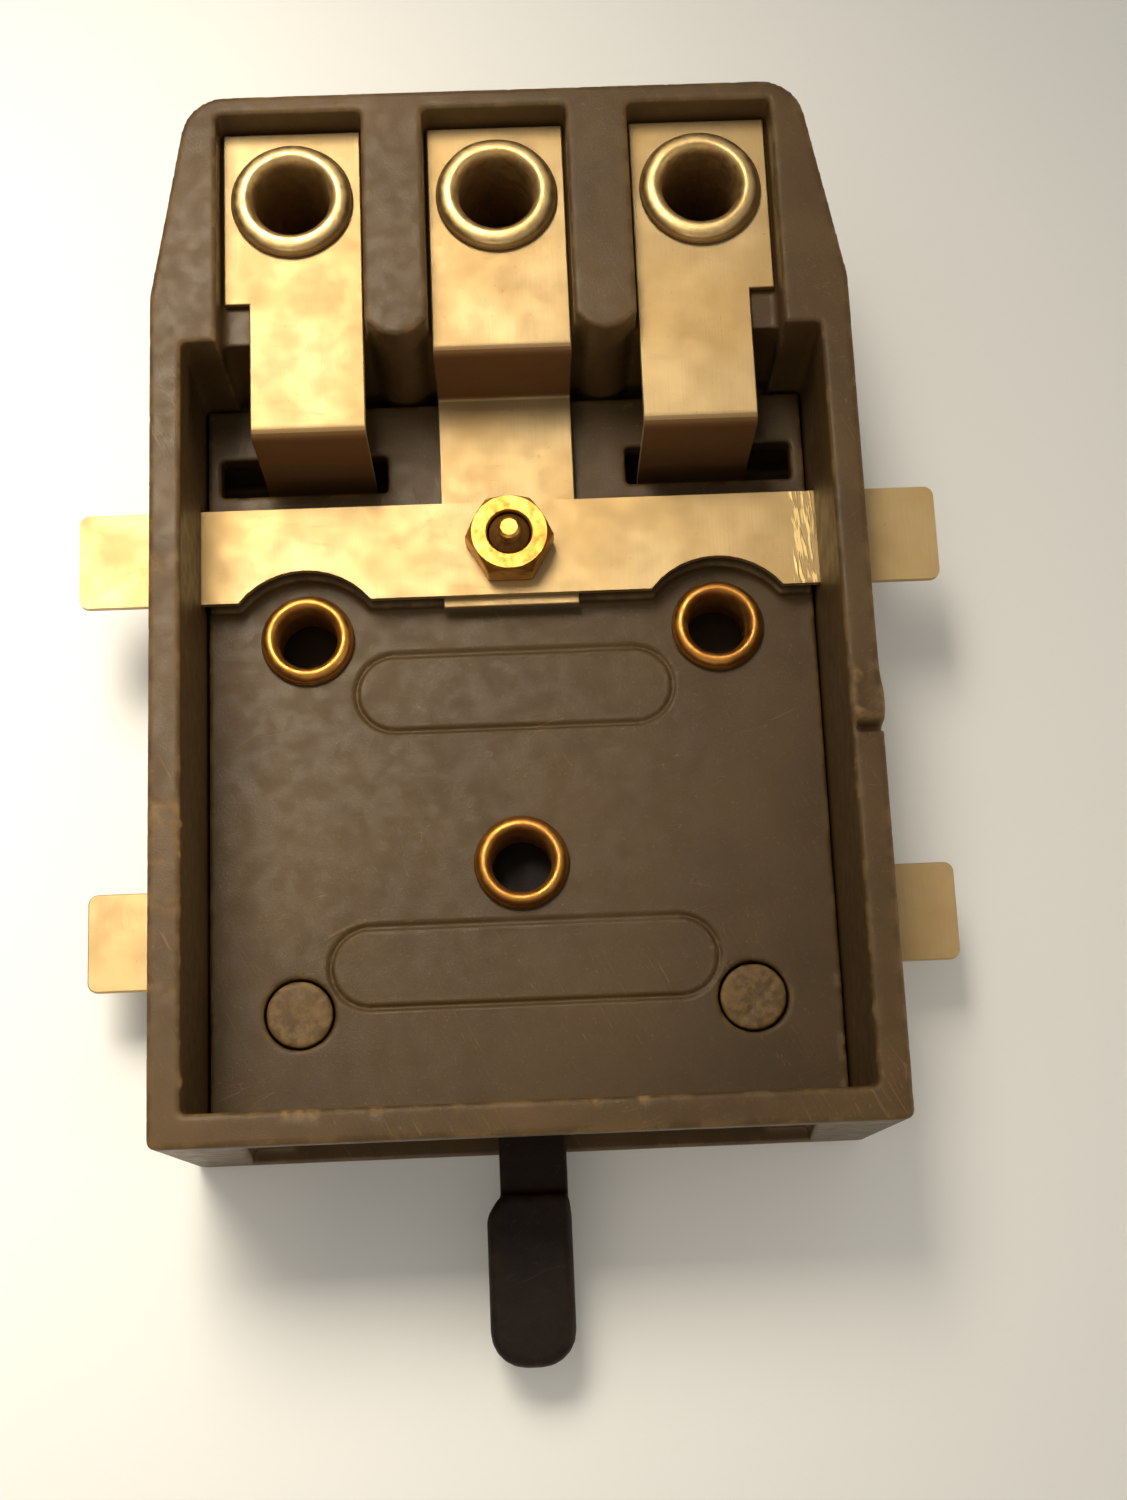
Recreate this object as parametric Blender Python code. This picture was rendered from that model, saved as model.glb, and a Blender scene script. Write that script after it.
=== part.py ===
"""Lever controller for a model railway, lying on its deck with the open underside up.

Axes: +X across the case, +Y from the lever to the three terminals, +Z out of the underside.
The origin is the centre of the deck's flat outer face. All values are metres.
"""

import math

import bmesh
import bpy
from mathutils import Matrix

MM = 0.001

# Case
BODY_LENGTH = 63.6 * MM
BODY_WIDTH = 42.0 * MM
BODY_HEIGHT = 18.5 * MM
DECK = 1.8 * MM
SIDE_WALL = 1.85 * MM
REAR_WALL = 1.2 * MM
FRONT_RIM = 1.9 * MM
FRONT_RIM_DEPTH = 1.6 * MM
FRONT_WEB = 0.95 * MM
FRONT_POST = 4.5 * MM
POST_SPREAD = 1.5 * MM
LEVER_SLOT_MARGIN = 2.0 * MM
LEVER_SLOT_HEIGHT = 4.4 * MM
TAPER_LENGTH = 13.2 * MM
TAPER_INSET = 2.3 * MM
REAR_RADIUS = 2.7 * MM
FRONT_RADIUS = 0.5 * MM
DECK_EDGE = 0.7 * MM
LEDGE = 3.0 * MM

# Where things stand along the case, as shares of its length from the front
FRONT_CARTOUCHE_STATION = 0.173
LOWER_BUS_STATION = 0.2107
PIVOT_STATION = 0.58
BLOCK_STATION = 0.76

# Terminal block
TERMINAL_PITCH = 0.3 * BODY_WIDTH
STRIP_WIDTH = 0.67 * TERMINAL_PITCH
DIVIDER_NOSE = 0.9 * MM
STRIP_TO_RIM = 2.2 * MM

# Base plate and the pegs that locate it
PLATE = 1.6 * MM
SHELF = 0.75 * MM
SHELF_MARGIN = 0.2 * MM
PEG_RADIUS = 2.0 * MM
PEG_SPACING = 0.65 * BODY_WIDTH
PEGS_AHEAD_OF_BUS = 5.05 * MM
BOSS_RADIUS = 3.2 * MM
BOSS_HEIGHT = 1.2 * MM
GROOVE_WIDTH = 0.3 * MM
GROOVE_DEPTH = 0.22 * MM
CARTOUCHE_HEIGHT = 5.2 * MM
REAR_CARTOUCHE_LENGTH = 20.0 * MM
REAR_CARTOUCHE_AHEAD_OF_PIVOT = 8.8 * MM
FRONT_CARTOUCHE_LENGTH = 23.8 * MM

# Brass strips
STRIP = 0.45 * MM
STRIP_NECK_WIDTH = 0.82 * STRIP_WIDTH
STRIP_HEAD_LENGTH = 11.45 * MM
LEG_BEHIND_PIVOT = 5.35 * MM
RISER_AHEAD_OF_BLOCK = 1.05 * MM
BEND_RADIUS = 0.6 * MM
CENTRE_BEND_RADIUS = 0.5 * MM
CENTRE_STRIP_OVERHANG = 0.55 * MM
CONTACT_ARM = 3.0 * MM
CONTACT_GAP = 3.8 * MM
TONGUE_TO_CONTACT = 1.3 * MM
LEG_SLOT_MARGIN = 0.6 * MM
LEG_SLOT_LENGTH = STRIP_WIDTH + 2.15 * MM
LEG_SLOT_FRONT = 0.85 * MM
LEG_SLOT_REAR = 1.65 * MM

# Bus bars
BUS = 0.5 * MM
BUS_WIDTH = 6.05 * MM
TAB_LENGTH = 5.7 * MM
BUS_LENGTH = BODY_WIDTH + 2 * TAB_LENGTH
BUS_CORNER = 0.6 * MM
UPPER_BUS_AHEAD_OF_PIVOT = 0.2 * MM
RELIEF_RADIUS = 5.2 * MM
RELIEF_DEPTH = 2.0 * MM
TONGUE_WIDTH = 10.4 * MM
TONGUE_AHEAD_OF_PIVOT = 14.0 * MM

# Sockets and hollow rivets
SOCKET_BORE = 2.35 * MM
SOCKET_WALL = 0.4 * MM
SOCKET_FLANGE = 0.445 * STRIP_WIDTH
SOCKET_LIP = 0.95 * MM
SOCKET_LENGTH = 8.0 * MM
SOCKET_FROM_REAR = 6.15 * MM
RIVET_BORE = 1.85 * MM
RIVET_WALL = 0.35 * MM
RIVET_FLANGE = 2.9 * MM
RIVET_LIP = 0.95 * MM
CLINCH = 0.45 * MM
CLINCH_RADIUS = 2.7 * MM
RIVET_SPACING = 0.61 * BODY_WIDTH
RIVETS_AHEAD_OF_PIVOT = 5.25 * MM
BUS_RIVET_BEHIND_BUS = 3.65 * MM

# Pivot, lever and wiper
SCREW_RADIUS = 1.25 * MM
SCREW_HEAD_RADIUS = 2.2 * MM
SCREW_HEAD = 0.9 * MM
SCREW_HEAD_TO_DECK = 0.3 * MM
SCREW_TIP_RADIUS = 0.7 * MM
SCREW_TIP = 0.9 * MM
SCREW_SLOT = 0.5 * MM
NUT_ACROSS_FLATS = 4.76 * MM
NUT_HEIGHT = 2.2 * MM
NUT_CHAMFER = 0.35 * MM
WASHER = 0.35 * MM
SPRING_WASHER_RADIUS = 2.9 * MM
SPRING_WASHER_SHEET = 0.25 * MM
SPRING_WASHER_ROOM = 0.7 * MM
LEVER = 2.3 * MM
LEVER_TO_DECK = 0.6 * MM
LEVER_SWING = 16.0
HUB_RADIUS = 4.2 * MM
HUB_WEB = 1.05 * MM
ARM_WIDTH = 5.0 * MM
ARM_TAPER = 3.0 * MM
NECK_WIDTH = 4.1 * MM
NECK_INSIDE = 2.0 * MM
NECK_OUTSIDE = 2.6 * MM
PADDLE_WIDTH = 5.1 * MM
PADDLE_OFFSET = 0.35 * MM
PADDLE_SWELL = 0.85 * MM
PADDLE_SHOULDER = 1.3 * MM
PADDLE_RADIUS = 2.1 * MM
PADDLE_ROOT_RADIUS = 1.5 * MM
PADDLE_EDGE = 0.45 * MM
LEVER_OUTSIDE = 12.7 * MM
WIPER = 0.25 * MM
WIPER_WIDTH = 3.0 * MM
WIPER_CORNER = 0.5 * MM
WIPER_REAR_REACH = 5.6 * MM
WIPER_FRONT_MARGIN = 1.2 * MM
TONGUE_CONTACT = 1.6 * MM
DIMPLE_RADIUS = 0.7 * MM
WIPER_RIVET_REACH = 8.0 * MM
WIPER_RIVET_RADIUS = 0.7 * MM
WIPER_RIVET_HEAD_RADIUS = 1.2 * MM
WIPER_RIVET_HEAD = 0.35 * MM

# Clearances
REST_GAP = 0.15 * MM
SLIDE_GAP = 0.2 * MM
SHAFT_GAP = 0.08 * MM
WIPER_GAP = 0.12 * MM
OVERCUT = 1.0 * MM

SEGMENTS = 28
SMALL_SEGMENTS = 16
CORNER_SEGMENTS = 5
SMOOTH_ANGLE = math.radians(35)

# Places that follow from the sizes above
HALF_LENGTH = BODY_LENGTH / 2
HALF_WIDTH = BODY_WIDTH / 2
CAVITY_HALF_WIDTH = HALF_WIDTH - SIDE_WALL
CHANNEL_WIDTH = STRIP_WIDTH + 2 * SLIDE_GAP
BLOCK_FRONT = BLOCK_STATION * BODY_LENGTH - HALF_LENGTH
BLOCK_NOSE = BLOCK_FRONT - DIVIDER_NOSE
STRIP_TOP = BODY_HEIGHT - STRIP_TO_RIM
CHANNEL_FLOOR = STRIP_TOP - STRIP - REST_GAP
STRIP_REAR = HALF_LENGTH - REAR_WALL - SLIDE_GAP
LEVER_BOTTOM = DECK + LEVER_TO_DECK
LEVER_TOP = LEVER_BOTTOM + LEVER
PLATE_BOTTOM = LEVER_TOP + SPRING_WASHER_ROOM + BOSS_HEIGHT
PLATE_TOP = PLATE_BOTTOM + PLATE
SHELF_TOP = PLATE_TOP + SHELF
CENTRE_STRIP_TOP = SHELF_TOP + REST_GAP + STRIP
UPPER_BUS_TOP = CENTRE_STRIP_TOP + REST_GAP + BUS
CONTACT_TOP = PLATE_BOTTOM - REST_GAP
CONTACT_BOTTOM = CONTACT_TOP - BUS
PIVOT_FROM_FRONT = PIVOT_STATION * BODY_LENGTH
PIVOT_Y = PIVOT_FROM_FRONT - HALF_LENGTH
SOCKET_Y = HALF_LENGTH - SOCKET_FROM_REAR
RIVET_Y = PIVOT_Y - RIVETS_AHEAD_OF_PIVOT
UPPER_BUS_Y = PIVOT_Y - UPPER_BUS_AHEAD_OF_PIVOT
LOWER_BUS_Y = LOWER_BUS_STATION * BODY_LENGTH - HALF_LENGTH
BUS_RIVET_Y = LOWER_BUS_Y + BUS_RIVET_BEHIND_BUS
LEG_Y = PIVOT_Y + LEG_BEHIND_PIVOT
RISER_Y = BLOCK_FRONT - RISER_AHEAD_OF_BLOCK
PEG_Y = LOWER_BUS_Y - PEGS_AHEAD_OF_BUS
TONGUE_END = PIVOT_Y - TONGUE_AHEAD_OF_PIVOT
CONTACT_ARM_FRONT = TONGUE_END + TONGUE_TO_CONTACT


def clear_scene():
    for obj in list(bpy.data.objects):
        bpy.data.objects.remove(obj, do_unlink=True)


def material(name, colour, roughness, metallic):
    made = bpy.data.materials.new(name)
    made.use_nodes = True
    shader = made.node_tree.nodes["Principled BSDF"]
    shader.inputs["Base Color"].default_value = (*colour, 1.0)
    shader.inputs["Roughness"].default_value = roughness
    shader.inputs["Metallic"].default_value = metallic
    made.diffuse_color = (*colour, 1.0)
    return made


def object_from(name, bm, finish=None, location=(0, 0, 0)):
    """A smooth-shaded object from a bmesh, with its faces turned outwards."""
    bmesh.ops.recalc_face_normals(bm, faces=bm.faces)
    mesh = bpy.data.meshes.new(name)
    bm.to_mesh(mesh)
    bm.free()
    mesh.shade_smooth()
    mesh.set_sharp_from_angle(angle=SMOOTH_ANGLE)
    if finish:
        mesh.materials.append(finish)
    obj = bpy.data.objects.new(name, mesh)
    obj.location = location
    bpy.context.scene.collection.objects.link(obj)
    return obj


def arc(centre, radius, start, end, steps):
    """Points along an arc, both ends included, with angles in degrees."""
    angles = [math.radians(start + (end - start) * i / steps) for i in range(steps + 1)]
    return [(centre[0] + radius * math.cos(a), centre[1] + radius * math.sin(a)) for a in angles]


def circle(centre, radius, steps=SEGMENTS):
    return arc(centre, radius, 0, 360, steps)[:-1]


def rectangle(left, front, right, rear):
    return [(left, front), (right, front), (right, rear), (left, rear)]


def rounded(corners, steps=CORNER_SEGMENTS, closed=True):
    """An outline from (x, y, radius) corners, each replaced by an arc that meets both sides."""
    points = []
    count = len(corners)
    for i, (x, y, radius) in enumerate(corners):
        if radius == 0 or (not closed and i in (0, count - 1)):
            points.append((x, y))
            continue
        before, after = corners[i - 1], corners[(i + 1) % count]
        back = math.atan2(before[1] - y, before[0] - x)
        ahead = math.atan2(after[1] - y, after[0] - x)
        half = shortest_turn(back, ahead) / 2
        reach = radius / abs(math.sin(half))
        centre = (x + reach * math.cos(back + half), y + reach * math.sin(back + half))
        start = math.degrees(back - math.copysign(math.pi / 2, half))
        sweep = math.degrees(math.copysign(math.pi, half) - 2 * half)
        points += arc(centre, radius, start, start - sweep, steps)
    return points


def shortest_turn(start, end):
    return (end - start + math.pi) % (2 * math.pi) - math.pi


def stadium(centre, length, height, steps=8):
    reach = (length - height) / 2
    right = arc((centre[0] + reach, centre[1]), height / 2, -90, 90, steps)
    left = arc((centre[0] - reach, centre[1]), height / 2, 90, 270, steps)
    return right + left


def prism_mesh(outline, low, high):
    bm = bmesh.new()
    face = bm.faces.new([bm.verts.new((x, y, low)) for x, y in outline])
    top = bmesh.ops.extrude_face_region(bm, geom=[face])["geom"]
    raised = [item for item in top if isinstance(item, bmesh.types.BMVert)]
    bmesh.ops.translate(bm, verts=raised, vec=(0, 0, high - low))
    return bm


def prism(name, outline, low, high, finish=None, location=(0, 0, 0)):
    return object_from(name, prism_mesh(outline, low, high), finish, location)


def sideways_prism(name, outline, low, high, finish=None, location=(0, 0, 0)):
    """A prism along X whose outline is given in (y, z)."""
    bm = prism_mesh(outline, low, high)
    turn = Matrix(((0, 0, 1, 0), (1, 0, 0, 0), (0, 1, 0, 0), (0, 0, 0, 1)))
    bmesh.ops.transform(bm, matrix=turn, verts=bm.verts)
    return object_from(name, bm, finish, location)


def turned(name, profile, finish=None, location=(0, 0, 0), steps=SEGMENTS):
    """A closed (radius, z) profile turned about Z; points at radius 0 become poles."""
    bm = bmesh.new()
    rings = []
    for radius, z in profile:
        if radius == 0:
            rings.append([bm.verts.new((0, 0, z))])
        else:
            rings.append([bm.verts.new((x, y, z)) for x, y in circle((0, 0), radius, steps)])
    for ring, after in zip(rings, rings[1:] + rings[:1]):
        if len(ring) == 1 and len(after) == 1:
            continue
        for k in range(steps):
            corners = [ring[k % len(ring)], ring[(k + 1) % len(ring)]]
            corners += [after[(k + 1) % len(after)], after[k % len(after)]]
            bm.faces.new(list(dict.fromkeys(corners)))
    return object_from(name, bm, finish, location)


def boolean(target, operation, helper):
    """Cuts, joins or intersects with a helper that is left out of renders."""
    helper.hide_render = True
    helper.display_type = "WIRE"
    modifier = target.modifiers.new(helper.name, "BOOLEAN")
    modifier.operation = operation
    modifier.solver = "EXACT"
    modifier.object = helper


def cut(target, helper):
    boolean(target, "DIFFERENCE", helper)


def join(target, helper):
    boolean(target, "UNION", helper)


def bent_profile(path, thickness, radius):
    """The (y, z) outline of a strip of one thickness whose centre line follows a path with round bends."""
    corners = [(y, z, radius) for y, z in path]
    line = rounded(corners, closed=False)
    left, right = [], []
    for i, (y, z) in enumerate(line):
        before, after = line[max(i - 1, 0)], line[min(i + 1, len(line) - 1)]
        length = math.dist(before, after)
        ny, nz = -(after[1] - before[1]) / length, (after[0] - before[0]) / length
        left.append((y + ny * thickness / 2, z + nz * thickness / 2))
        right.append((y - ny * thickness / 2, z - nz * thickness / 2))
    return left + right[::-1]


def body_outline():
    rear = HALF_WIDTH - TAPER_INSET
    shoulder = HALF_LENGTH - TAPER_LENGTH
    right = [
        (HALF_WIDTH, -HALF_LENGTH, FRONT_RADIUS),
        (HALF_WIDTH, shoulder, 0),
        (rear, HALF_LENGTH, REAR_RADIUS),
    ]
    left = [(-x, y, radius) for x, y, radius in right[::-1]]
    return rounded(right + left)


def cavity_outline():
    """The open underside: straight sides, and a rear edge with two round-nosed dividers."""
    half_width = CAVITY_HALF_WIDTH
    front = -HALF_LENGTH + FRONT_RIM
    nose = (TERMINAL_PITCH - CHANNEL_WIDTH) / 2
    flank = TERMINAL_PITCH + CHANNEL_WIDTH / 2
    outline = [(-half_width, front), (half_width, front), (half_width, BLOCK_NOSE)]
    outline += [(flank, BLOCK_NOSE), (flank, BLOCK_FRONT)]
    for side in (1, -1):
        middle = side * TERMINAL_PITCH / 2
        outline.append((middle + nose, BLOCK_FRONT))
        outline += arc((middle, BLOCK_NOSE + nose), nose, -25, -155, 8)
        outline.append((middle - nose, BLOCK_FRONT))
    outline += [(-flank, BLOCK_FRONT), (-flank, BLOCK_NOSE), (-half_width, BLOCK_NOSE)]
    return outline


def make_case(finish):
    bm = prism_mesh(body_outline(), 0, BODY_HEIGHT)
    deck_edges = [edge for edge in bm.edges if all(vert.co.z == 0 for vert in edge.verts)]
    bmesh.ops.bevel(bm, geom=deck_edges, offset=DECK_EDGE, segments=3, profile=0.5, affect="EDGES")
    case = object_from("case", bm, finish)

    mouth_top = BODY_HEIGHT + OVERCUT
    cut(case, prism("cavity_cut", cavity_outline(), DECK, mouth_top))

    channel_rear = HALF_LENGTH - REAR_WALL
    for place, side in (("left", -1), ("centre", 0), ("right", 1)):
        middle = side * TERMINAL_PITCH
        channel = rectangle(
            middle - CHANNEL_WIDTH / 2, BLOCK_FRONT - OVERCUT, middle + CHANNEL_WIDTH / 2, channel_rear
        )
        cut(case, prism(place + "_channel_cut", channel, CHANNEL_FLOOR, mouth_top))
        bore = circle((middle, SOCKET_Y), SOCKET_BORE + SOCKET_WALL + REST_GAP)
        bore_end = STRIP_TOP - SOCKET_LENGTH - OVERCUT
        cut(case, prism(place + "_bore_cut", bore, bore_end, CHANNEL_FLOOR + OVERCUT))

    cut_front_wall(case)
    cut_bus_windows(case)
    add_pegs_and_ledges(case)
    return case


def cut_front_wall(case):
    """The recess under the front rim, and the slot that the lever swings in."""
    recess_top = BODY_HEIGHT - FRONT_RIM_DEPTH
    top_half = HALF_WIDTH - FRONT_POST - POST_SPREAD / 2
    low_half = HALF_WIDTH - FRONT_POST + POST_SPREAD / 2
    face = [(-low_half, DECK), (low_half, DECK), (top_half, recess_top), (-top_half, recess_top)]
    back = -HALF_LENGTH + FRONT_RIM - FRONT_WEB
    bm = prism_mesh(face, -back, HALF_LENGTH + OVERCUT)
    upright = Matrix(((1, 0, 0, 0), (0, 0, -1, 0), (0, 1, 0, 0), (0, 0, 0, 1)))
    bmesh.ops.transform(bm, matrix=upright, verts=bm.verts)
    cut(case, object_from("front_recess_cut", bm))
    swing = math.radians(LEVER_SWING)
    slot_half = PIVOT_FROM_FRONT * math.tan(swing) + NECK_WIDTH / 2 / math.cos(swing) + LEVER_SLOT_MARGIN
    slot = rectangle(-slot_half, back - FRONT_WEB / 2, slot_half, back + FRONT_WEB + OVERCUT)
    cut(case, prism("lever_slot_cut", slot, DECK, DECK + LEVER_SLOT_HEIGHT))


def cut_bus_windows(case):
    for place, y, top in (("upper", UPPER_BUS_Y, UPPER_BUS_TOP), ("lower", LOWER_BUS_Y, CONTACT_TOP)):
        for side_name, side in (("left", -1), ("right", 1)):
            inner, outer = side * (CAVITY_HALF_WIDTH - OVERCUT), side * (HALF_WIDTH + OVERCUT)
            half = BUS_WIDTH / 2 + REST_GAP
            window = rectangle(min(inner, outer), y - half, max(inner, outer), y + half)
            name = f"{place}_{side_name}_window_cut"
            cut(case, prism(name, window, top - BUS - REST_GAP, top + REST_GAP))


def add_pegs_and_ledges(case):
    inner_front = -HALF_LENGTH + FRONT_RIM
    for place, side in (("left", -1), ("right", 1)):
        peg = circle((side * PEG_SPACING / 2, PEG_Y), PEG_RADIUS)
        join(case, prism(place + "_peg", peg, DECK / 2, PLATE_TOP))
        near, far = side * (CAVITY_HALF_WIDTH - LEDGE), side * (CAVITY_HALF_WIDTH + SIDE_WALL / 2)
        left, right = min(near, far), max(near, far)
        ledge_top = PLATE_BOTTOM - REST_GAP
        front = rectangle(left, inner_front - FRONT_WEB / 2, right, inner_front + LEDGE)
        join(case, prism(place + "_front_ledge", front, DECK / 2, ledge_top))
        rear = rectangle(left, BLOCK_NOSE - LEDGE, right, BLOCK_NOSE + LEDGE / 2)
        join(case, prism(place + "_rear_ledge", rear, DECK / 2, ledge_top))


def upper_bus_outline(margin=0.0, half_length=BUS_LENGTH / 2, corner=BUS_CORNER):
    """A straight bar whose front edge steps round the two upper rivets."""
    half = BUS_WIDTH / 2 + margin
    front, rear = UPPER_BUS_Y - half, UPPER_BUS_Y + half
    relief_y = UPPER_BUS_Y - BUS_WIDTH / 2 + RELIEF_DEPTH - RELIEF_RADIUS
    radius = RELIEF_RADIUS - margin
    reach = math.degrees(math.acos(-(relief_y - front) / radius))
    outline = []
    for side in (-1, 1):
        outline += arc((side * RIVET_SPACING / 2, relief_y), radius, 90 + reach, 90 - reach, 12)
    right = [(half_length, front, corner), (half_length, rear, corner)]
    left = [(-half_length, rear, corner), (-half_length, front, corner)]
    return outline + rounded(right + left)


def make_base_plate(finish):
    half_width = CAVITY_HALF_WIDTH - REST_GAP
    front, rear = -HALF_LENGTH + FRONT_RIM + SLIDE_GAP, BLOCK_NOSE - SLIDE_GAP
    outline = rectangle(-half_width, front, half_width, rear)
    plate = prism("base_plate", outline, PLATE_BOTTOM, PLATE_TOP, finish)
    shelf = upper_bus_outline(SHELF_MARGIN, half_width - REST_GAP, 0)
    join(plate, prism("bus_shelf", shelf, PLATE_TOP - PLATE / 2, SHELF_TOP))
    boss = circle((0, PIVOT_Y), BOSS_RADIUS)
    join(plate, prism("pivot_boss", boss, PLATE_BOTTOM - BOSS_HEIGHT, PLATE_BOTTOM + PLATE / 2))

    low, high = PLATE_BOTTOM - OVERCUT - BOSS_HEIGHT, SHELF_TOP + OVERCUT
    pivot = circle((0, PIVOT_Y), SCREW_RADIUS + REST_GAP)
    cut(plate, prism("pivot_hole_cut", pivot, low, high))
    for place, side in (("left", -1), ("right", 1)):
        peg = circle((side * PEG_SPACING / 2, PEG_Y), PEG_RADIUS + REST_GAP)
        cut(plate, prism(place + "_peg_hole_cut", peg, low, high))
        near = side * (TERMINAL_PITCH - CHANNEL_WIDTH / 2 - LEG_SLOT_MARGIN)
        far = near + side * LEG_SLOT_LENGTH
        front, rear = LEG_Y - LEG_SLOT_FRONT, LEG_Y + LEG_SLOT_REAR
        slot = rectangle(min(near, far), front, max(near, far), rear)
        cut(plate, prism(place + "_leg_slot_cut", slot, low, high))
    for place, x, y in rivet_places():
        shank = circle((x, y), RIVET_BORE + RIVET_WALL + REST_GAP)
        cut(plate, prism(place + "_hole_cut", shank, low, high))
    cut_cartouche(plate, "rear", PIVOT_Y - REAR_CARTOUCHE_AHEAD_OF_PIVOT, REAR_CARTOUCHE_LENGTH)
    front_y = FRONT_CARTOUCHE_STATION * BODY_LENGTH - HALF_LENGTH
    cut_cartouche(plate, "front", front_y, FRONT_CARTOUCHE_LENGTH)
    return plate


def cut_cartouche(plate, place, y, length):
    """A plain stadium-shaped outline, engraved as a ring."""
    outer = stadium((0, y), length, CARTOUCHE_HEIGHT)
    inner = stadium((0, y), length - 2 * GROOVE_WIDTH, CARTOUCHE_HEIGHT - 2 * GROOVE_WIDTH)
    bm = bmesh.new()
    floor, top = PLATE_TOP - GROOVE_DEPTH, PLATE_TOP + GROOVE_DEPTH
    loops = []
    for line, z in ((outer, floor), (outer, top), (inner, top), (inner, floor)):
        loops.append([bm.verts.new((x, y, z)) for x, y in line])
    count = len(outer)
    for loop, after in zip(loops, loops[1:] + loops[:1]):
        for k in range(count):
            bm.faces.new([loop[k], loop[(k + 1) % count], after[(k + 1) % count], after[k]])
    cut(plate, object_from(place + "_cartouche_cut", bm))


def rivet_places():
    half = RIVET_SPACING / 2
    return (
        ("left_contact_rivet", -half, RIVET_Y),
        ("right_contact_rivet", half, RIVET_Y),
        ("bus_rivet", 0, BUS_RIVET_Y),
    )


def make_outer_strip(place, side, finish):
    """Wide head in its channel, narrow run, leg through the plate, and a contact foot under it."""
    middle = side * TERMINAL_PITCH
    inner = middle - side * STRIP_WIDTH / 2
    outer = middle + side * STRIP_WIDTH / 2
    top_line, foot_line = STRIP_TOP - STRIP / 2, CONTACT_TOP - STRIP / 2
    path = [(STRIP_REAR, top_line), (LEG_Y, top_line), (LEG_Y, foot_line), (RIVET_Y, foot_line)]
    profile = bent_profile(path, STRIP, BEND_RADIUS)
    name = place + "_terminal_strip"
    strip = sideways_prism(name, profile, min(inner, outer), max(inner, outer), finish)

    neck_outer = inner + side * STRIP_NECK_WIDTH
    head_front = STRIP_REAR - STRIP_HEAD_LENGTH
    far = outer + side * OVERCUT
    notch = rectangle(min(neck_outer, far), RIVET_Y - OVERCUT, max(neck_outer, far), head_front)
    cut(strip, prism(name + "_notch_cut", notch, 0, BODY_HEIGHT))
    hole = circle((middle, SOCKET_Y), SOCKET_BORE + SOCKET_WALL + REST_GAP)
    cut(strip, prism(name + "_socket_cut", hole, STRIP_TOP - STRIP - OVERCUT, STRIP_TOP + OVERCUT))

    rivet_x = side * RIVET_SPACING / 2
    arm_end, arm_root = side * CONTACT_GAP / 2, rivet_x + side * CLINCH_RADIUS
    arm_rear = CONTACT_ARM_FRONT + CONTACT_ARM
    foot = rounded([
        (min(arm_end, arm_root), CONTACT_ARM_FRONT, BUS_CORNER),
        (max(arm_end, arm_root), CONTACT_ARM_FRONT, BUS_CORNER),
        (max(arm_end, arm_root), arm_rear, 0),
        (min(arm_end, arm_root), arm_rear, 0),
    ])
    join(strip, prism(name + "_arm", foot, CONTACT_TOP - STRIP, CONTACT_TOP))
    half_pad = STRIP_NECK_WIDTH / 2
    pad = rectangle(rivet_x - half_pad, arm_rear - CONTACT_ARM / 2, rivet_x + half_pad, RIVET_Y + half_pad)
    join(strip, prism(name + "_pad", pad, CONTACT_TOP - STRIP, CONTACT_TOP))
    shank = circle((rivet_x, RIVET_Y), RIVET_BORE + RIVET_WALL + REST_GAP)
    cut(strip, prism(name + "_rivet_cut", shank, CONTACT_TOP - STRIP - OVERCUT, CONTACT_TOP + OVERCUT))
    return strip


def make_centre_strip(finish):
    """Head in the middle channel, a riser, and a lower run clamped under the upper bus bar."""
    top_line, low_line = STRIP_TOP - STRIP / 2, CENTRE_STRIP_TOP - STRIP / 2
    front = UPPER_BUS_Y - BUS_WIDTH / 2 - CENTRE_STRIP_OVERHANG
    path = [(STRIP_REAR, top_line), (RISER_Y, top_line), (RISER_Y, low_line), (front, low_line)]
    profile = bent_profile(path, STRIP, CENTRE_BEND_RADIUS)
    strip = sideways_prism("centre_terminal_strip", profile, -STRIP_WIDTH / 2, STRIP_WIDTH / 2, finish)
    hole = circle((0, SOCKET_Y), SOCKET_BORE + SOCKET_WALL + REST_GAP)
    cut(strip, prism("centre_socket_cut", hole, STRIP_TOP - STRIP - OVERCUT, STRIP_TOP + OVERCUT))
    pivot = circle((0, PIVOT_Y), SCREW_RADIUS + REST_GAP)
    cut(strip, prism("centre_strip_screw_cut", pivot, PLATE_TOP, UPPER_BUS_TOP))
    return strip


def make_upper_bus(finish):
    bar = prism("upper_bus_bar", upper_bus_outline(), UPPER_BUS_TOP - BUS, UPPER_BUS_TOP, finish)
    hole = circle((0, PIVOT_Y), SCREW_RADIUS + REST_GAP)
    cut(bar, prism("upper_bus_screw_cut", hole, UPPER_BUS_TOP - BUS - OVERCUT, UPPER_BUS_TOP + OVERCUT))
    return bar


def make_lower_bus(finish):
    """A straight bar with a wide tongue that the wiper rubs on."""
    half_length, half_width, half_tongue = BUS_LENGTH / 2, BUS_WIDTH / 2, TONGUE_WIDTH / 2
    front, rear = LOWER_BUS_Y - half_width, LOWER_BUS_Y + half_width
    right = [
        (half_length, front, BUS_CORNER),
        (half_length, rear, BUS_CORNER),
        (half_tongue, rear, 0),
        (half_tongue, TONGUE_END, BUS_CORNER),
    ]
    left = [(-x, y, radius) for x, y, radius in right[::-1]]
    outline = rounded(right + left)
    bar = prism("lower_bus_bar", outline, CONTACT_BOTTOM, CONTACT_TOP, finish)
    shank = circle((0, BUS_RIVET_Y), RIVET_BORE + RIVET_WALL + REST_GAP)
    cut(bar, prism("lower_bus_rivet_cut", shank, CONTACT_BOTTOM - OVERCUT, CONTACT_TOP + OVERCUT))
    return bar


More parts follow.
